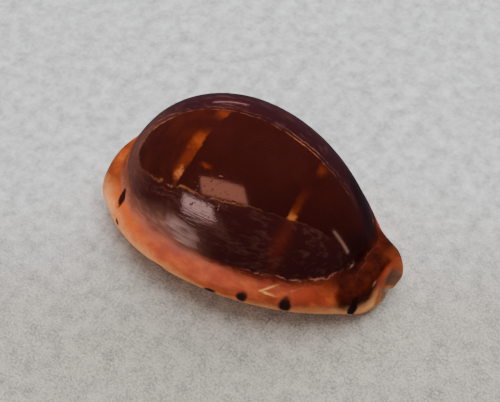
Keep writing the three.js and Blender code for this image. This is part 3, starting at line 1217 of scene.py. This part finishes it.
class CowrieColours(bpy.types.PropertyGroup):
    back: rgb("Back", "The glossy back", "3e140e")
    back_deep: rgb("Back, deep", "Darker patches of the back", "2c0a06")
    amber: rgb("Amber", "Where the back is thin and light shines through", "5e2209")
    band: rgb("Bands", "Pale bands across the back", "8e3614")
    band_bright: rgb("Bands, bright", "Their ends at the coat", "cc743c")
    coat_dark: rgb("Coat", "The thin coat over the outer lip's side", "3a1412")
    coat_far: rgb("Coat, far", "The thin coat over the columella side", "2c1018")
    coat_grey: rgb("Coat, milky", "Where the coat is thick", "a06c5c")
    # The satin colour is a painted highlight on the milky coat.
    satin_highlight: rgb("Satin", "A worn pale patch of the milky coat", "c4a29e")
    gold: rgb("Coat edge", "The line where the coat ends", "c07848")
    margin: rgb("Margin", "The thick margin", "da6a30")
    margin_red: rgb("Margin, red", "Redder patches of the margin", "a63a1a")
    margin_pale: rgb("Margin, pale", "The margin around the back end", "ee761c")
    # Partly the margin's own cream and partly painted light on its lower edge.
    cream_and_light: rgb("Cream", "The margin's lower edge", "faac6c")
    # The glint colour is a painted highlight on the margin.
    painted_glint: rgb("Chip", "A small scratch on the margin", "f4b860")
    neck: rgb("Neck", "The dark neck before the front canal", "1c0604")
    rust: rgb("Rust", "Redder patches around the front canal", "481608")
    callus: rgb("Callus", "Pale lines where the coats end", "b0705a")
    rim: rgb("Rim", "The front canal's rim", "a44e26")
    knob: rgb("Knob", "The columella's end beside the front canal", "823a1e")
    # The canal colour also darkens the front of the hollow as painted shade.
    canal: rgb("Canal", "The inside of the front canal", "92604a")
    spot: rgb("Spots", "Dark spots of the margin", "240806")
    base: rgb("Base", "The underside", "d88a54")
    tooth: rgb("Teeth", "Crests of the teeth", "f0d2b4")
    groove: rgb("Grooves", "Grooves between the teeth", "b4562a")
    inside: rgb("Inside", "The hollow", "b49a96")


class CowrieStage(bpy.types.PropertyGroup):
    floor: rgb("Floor", "The pale paper under the shell", "eef0f2")
    floor_warm: rgb("Floor, warm", "The warmer and grainier side of the paper", "e6dfd0")
    floor_dark: rgb("Floor, grain", "Darker fibres of the paper", "8e8e8a")
    window: bpy.props.FloatProperty(
        name="Window", description="Brightness of the window seen in the gloss",
        default=6.0, min=0, max=50,
    )


# ---------------------------------------------------------------------------------------------
# The shell
# ---------------------------------------------------------------------------------------------

SHELL_COLLECTION = "lit by the fill"


def plain_mesh(piece):
    """Turns a piece's modifiers into its plain mesh."""
    depsgraph = bpy.context.evaluated_depsgraph_get()
    result = bpy.data.meshes.new_from_object(
        piece.evaluated_get(depsgraph), preserve_all_data_layers=True, depsgraph=depsgraph
    )
    piece.modifiers.clear()
    piece.data = result


def socket_id(tree, name):
    return next(item.identifier for item in tree.interface.items_tree if item.name == name)


class MESH_OT_cowrie_shell(bpy.types.Operator):
    """Add the cowrie shell with its slot, teeth and enamel"""
    bl_idname = "mesh.cowrie_shell"
    bl_label = "Cowrie Shell"

    def execute(self, context):
        sizes = context.scene.cowrie_sizes
        tree = shell_tree()
        piece = bpy.data.objects.new("shell_enamel", bpy.data.meshes.new("shell_enamel"))
        context.scene.collection.objects.link(piece)
        modifier = piece.modifiers.new("Cowrie shell", "NODES")
        modifier.node_group = tree
        for name in CowrieSizes.__annotations__:
            label = sizes.bl_rna.properties[name].name
            modifier[socket_id(tree, label)] = getattr(sizes, name)
        modifier[socket_id(tree, "Material")] = Enamel(context.scene.cowrie_colours).finish()
        plain_mesh(piece)
        if not piece.data.polygons:
            raise RuntimeError("the shell came out empty")
        collection = bpy.data.collections.new(SHELL_COLLECTION)
        collection.objects.link(piece)
        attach(piece, "root")
        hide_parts("shell")
        return {"FINISHED"}


# ---------------------------------------------------------------------------------------------
# The stage
# ---------------------------------------------------------------------------------------------

# The view: turned to the front end, looking steeply down.
VIEW_TARGET = Vector((-0.5, 0.21, 6)) * MM
VIEW_TURN = math.radians(31.3)
VIEW_ELEVATION = math.radians(53.8)
VIEW_DISTANCE = 150 * MM
VIEW_LENS = 84
CLIP_START = 1 * MM

FLOOR_HALF = 600 * MM

# The paper is cool and smooth on one side, and changes to warm and grainy along a direction. The
# pairs of numbers are for the cool side and the warm side.
PAPER_TURN = math.radians(31.3)
PAPER_CHANGE = (-12 * MM, 30 * MM)
PAPER = {
    "fibre size": 0.3 * MM,
    "cloud size": 2 * MM,
    "fibres": (0.08, 0.8),
    "clouds": 0.75,
    "tone": (0.6, 0.72),
    "relief": (0.15, 1.0),
    "depth": 0.15 * MM,
    "roughness": 0.9,
}

ROOM_COLOUR = (0.9, 0.75, 1.0, 1)
ROOM_STRENGTH = 0.06

# Soft lights: turn, elevation, distance in metres, size per unit of distance, radiance, colour.
# The fill lights the shell alone.
FILL_LIGHT = "fill on the shell"
SOFT_LIGHTS = {
    "soft sky": (190, 60, 0.42, (1.4, 1.4), 4.0, (1, 1, 1)),
    "soft room": (10, 48, 0.5, (1.4, 1.4), 0.55, (1, 1, 1)),
    FILL_LIGHT: (-60, 22, 0.4, (0.8, 0.8), 2.8, (1, 0.88, 0.78)),
}

# Panes seen in the gloss: turn, elevation, size, share of the window's brightness, colour, roll.
PANES = {
    "upper pane": (-7, 41, (0.7, 0.31), 0.8, (1, 0.38, 0.25), 26),
    "lower pane": (-20, 9, (0.44, 0.28), 1.3, (1, 0.6, 0.55), 20),
    "far window": (212, 3, (0.3, 0.04), 0.6, (1, 0.5, 0.55), 0),
    "side window": (97, 2, (0.06, 0.4), 0.7, (1, 0.5, 0.38), 0),
}
PANE_DISTANCE = 300 * MM


def unit_vector(turn, elevation):
    """Points to a place around the shell: turn 0 is the outer lip's side."""
    flat = math.cos(elevation)
    return Vector((math.sin(turn) * flat, -math.cos(turn) * flat, math.sin(elevation)))


def area_light(name, turn, elevation, distance, size, radiance, colour, roll=0):
    """A rectangle of light that faces the shell. Its size is per unit of distance."""
    towards = unit_vector(math.radians(turn), math.radians(elevation))
    width, height = (extent * distance for extent in size)
    data = bpy.data.lights.new(name, "AREA")
    data.shape = "RECTANGLE"
    data.size = width
    data.size_y = height
    data.energy = radiance * math.pi * width * height
    data.color = colour
    light = bpy.data.objects.new(name, data)
    light.location = VIEW_TARGET + towards * distance
    roll_turn = Matrix.Rotation(math.radians(roll), 3, "Z")
    light.rotation_euler = (towards.to_track_quat("Z", "Y").to_matrix() @ roll_turn).to_euler()
    light.visible_camera = False
    bpy.context.scene.collection.objects.link(light)
    return light


def add_lights(window):
    """Soft lights that do not show in the gloss, and panes that show only there."""
    for name, settings in SOFT_LIGHTS.items():
        area_light(name, *settings).visible_glossy = False
    fill = bpy.data.objects[FILL_LIGHT]
    fill.light_linking.receiver_collection = bpy.data.collections[SHELL_COLLECTION]
    for name, (turn, elevation, size, share, colour, roll) in PANES.items():
        radiance = window * share
        pane = area_light(name, turn, elevation, PANE_DISTANCE, size, radiance, colour, roll)
        pane.visible_diffuse = False


def add_camera():
    data = bpy.data.cameras.new("camera")
    data.lens = VIEW_LENS
    data.clip_start = CLIP_START
    camera = bpy.data.objects.new("camera", data)
    back = unit_vector(VIEW_TURN, VIEW_ELEVATION)
    camera.location = VIEW_TARGET + back * VIEW_DISTANCE
    camera.rotation_euler = back.to_track_quat("Z", "Y").to_euler()
    bpy.context.scene.collection.objects.link(camera)
    bpy.context.scene.camera = camera


def dim_room():
    world = bpy.data.worlds.new("dim room")
    world.use_nodes = True
    background = world.node_tree.nodes["Background"]
    background.inputs["Color"].default_value = ROOM_COLOUR
    background.inputs["Strength"].default_value = ROOM_STRENGTH
    return world


def floor_material(look):
    """Pale paper with fibres and faint clouds."""
    material, tree, shader = new_material("pale paper")
    place = tree.nodes.new("ShaderNodeTexCoord").outputs["Object"]
    x, y, _ = axes(tree, place)
    across = x * math.sin(PAPER_TURN) - y * math.cos(PAPER_TURN)
    warm = across.ramp(*PAPER_CHANGE)
    fibres = mottle(tree, place, PAPER["fibre size"], contrast=4.5)
    clouds = mottle(tree, place, PAPER["cloud size"], contrast=3)
    grain = (fibres - 0.5) * mix(*PAPER["fibres"], warm) + (clouds - 0.5) * PAPER["clouds"]
    tone = (grain + mix(*PAPER["tone"], warm)).clamp()
    paper = tint(tree, look.floor, look.floor_warm, warm)
    plug(tint(tree, look.floor_dark, paper, tone), shader.inputs["Base Color"])
    shader.inputs["Roughness"].default_value = PAPER["roughness"]
    bump = tree.nodes.new("ShaderNodeBump")
    bump.inputs["Distance"].default_value = PAPER["depth"]
    plug(fibres * mix(*PAPER["relief"], warm), bump.inputs["Height"])
    plug(bump.outputs[0], shader.inputs["Normal"])
    return material


def add_floor(look):
    mesh = bpy.data.meshes.new("floor")
    corners = [(x * FLOOR_HALF, y * FLOOR_HALF, 0) for x, y in ((-1, -1), (1, -1), (1, 1), (-1, 1))]
    mesh.from_pydata(corners, [], [(0, 1, 2, 3)])
    mesh.materials.append(floor_material(look))
    floor = bpy.data.objects.new("floor", mesh)
    floor.visible_glossy = False
    bpy.context.scene.collection.objects.link(floor)


class SCENE_OT_cowrie_stage(bpy.types.Operator):
    """Add the floor, the lights and the camera"""
    bl_idname = "scene.cowrie_stage"
    bl_label = "Cowrie Stage"

    def execute(self, context):
        look = context.scene.cowrie_stage
        add_floor(look)
        context.scene.world = dim_room()
        add_lights(look.window)
        add_camera()
        return {"FINISHED"}


# ---------------------------------------------------------------------------------------------
# The add-on
# ---------------------------------------------------------------------------------------------

class VIEW3D_PT_cowrie(bpy.types.Panel):
    """Lists the pieces of the cowrie shell and what can be changed"""
    bl_label = "Cowrie Shell"
    bl_space_type = "VIEW_3D"
    bl_region_type = "UI"
    bl_category = "Cowrie"

    def draw(self, context):
        layout = self.layout
        scene = context.scene
        for group in (scene.cowrie_sizes, scene.cowrie_colours, scene.cowrie_stage):
            box = layout.box()
            for name in group.__annotations__:
                box.prop(group, name)
        for operator in OPERATORS:
            layout.operator(operator.bl_idname)


GROUPS = {
    "cowrie_sizes": CowrieSizes,
    "cowrie_colours": CowrieColours,
    "cowrie_stage": CowrieStage,
}
OPERATORS = (MESH_OT_cowrie_shell, SCENE_OT_cowrie_stage)
CLASSES = (*GROUPS.values(), *OPERATORS, VIEW3D_PT_cowrie)


def register():
    for cls in CLASSES:
        bpy.utils.register_class(cls)
    for name, group in GROUPS.items():
        setattr(bpy.types.Scene, name, bpy.props.PointerProperty(type=group))


def unregister():
    for name in GROUPS:
        delattr(bpy.types.Scene, name)
    for cls in reversed(CLASSES):
        bpy.utils.unregister_class(cls)


def main():
    register()
    bpy.ops.mesh.cowrie_shell()
    bpy.ops.scene.cowrie_stage()


if __name__ == "__main__":
    main()
